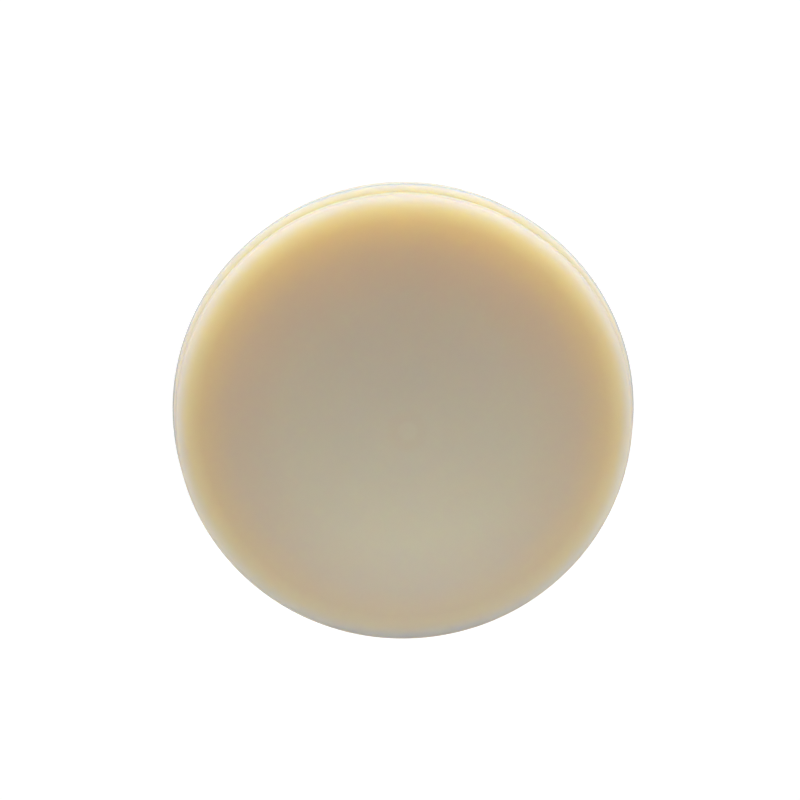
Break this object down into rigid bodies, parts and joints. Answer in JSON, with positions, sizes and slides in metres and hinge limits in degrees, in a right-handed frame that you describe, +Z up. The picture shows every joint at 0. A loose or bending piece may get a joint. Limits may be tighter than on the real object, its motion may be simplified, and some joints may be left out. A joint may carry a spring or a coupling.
{
  "type": "dental milling disc",
  "caption": "Flat round milling disc of translucent tooth-coloured acrylic, solid all through, with a clamping collar round its middle, for cutting dental crowns and bridges.",
  "frame": {"origin": "centre of the underside, the face that the disc lies on", "axes": "+Z up along the disc's axis, from the underside to the upper face; X and Y lie in the underside, and the disc is round about Z"},
  "size_m": [0.0984, 0.0984, 0.025],
  "materials": {
    "tooth_acrylic": "translucent ivory acrylic, fine turned and lightly polished, satin gloss"
  },
  "bodies": {
    "root": {"milling_disc": "tooth_acrylic"}
  },
  "joints": []
}
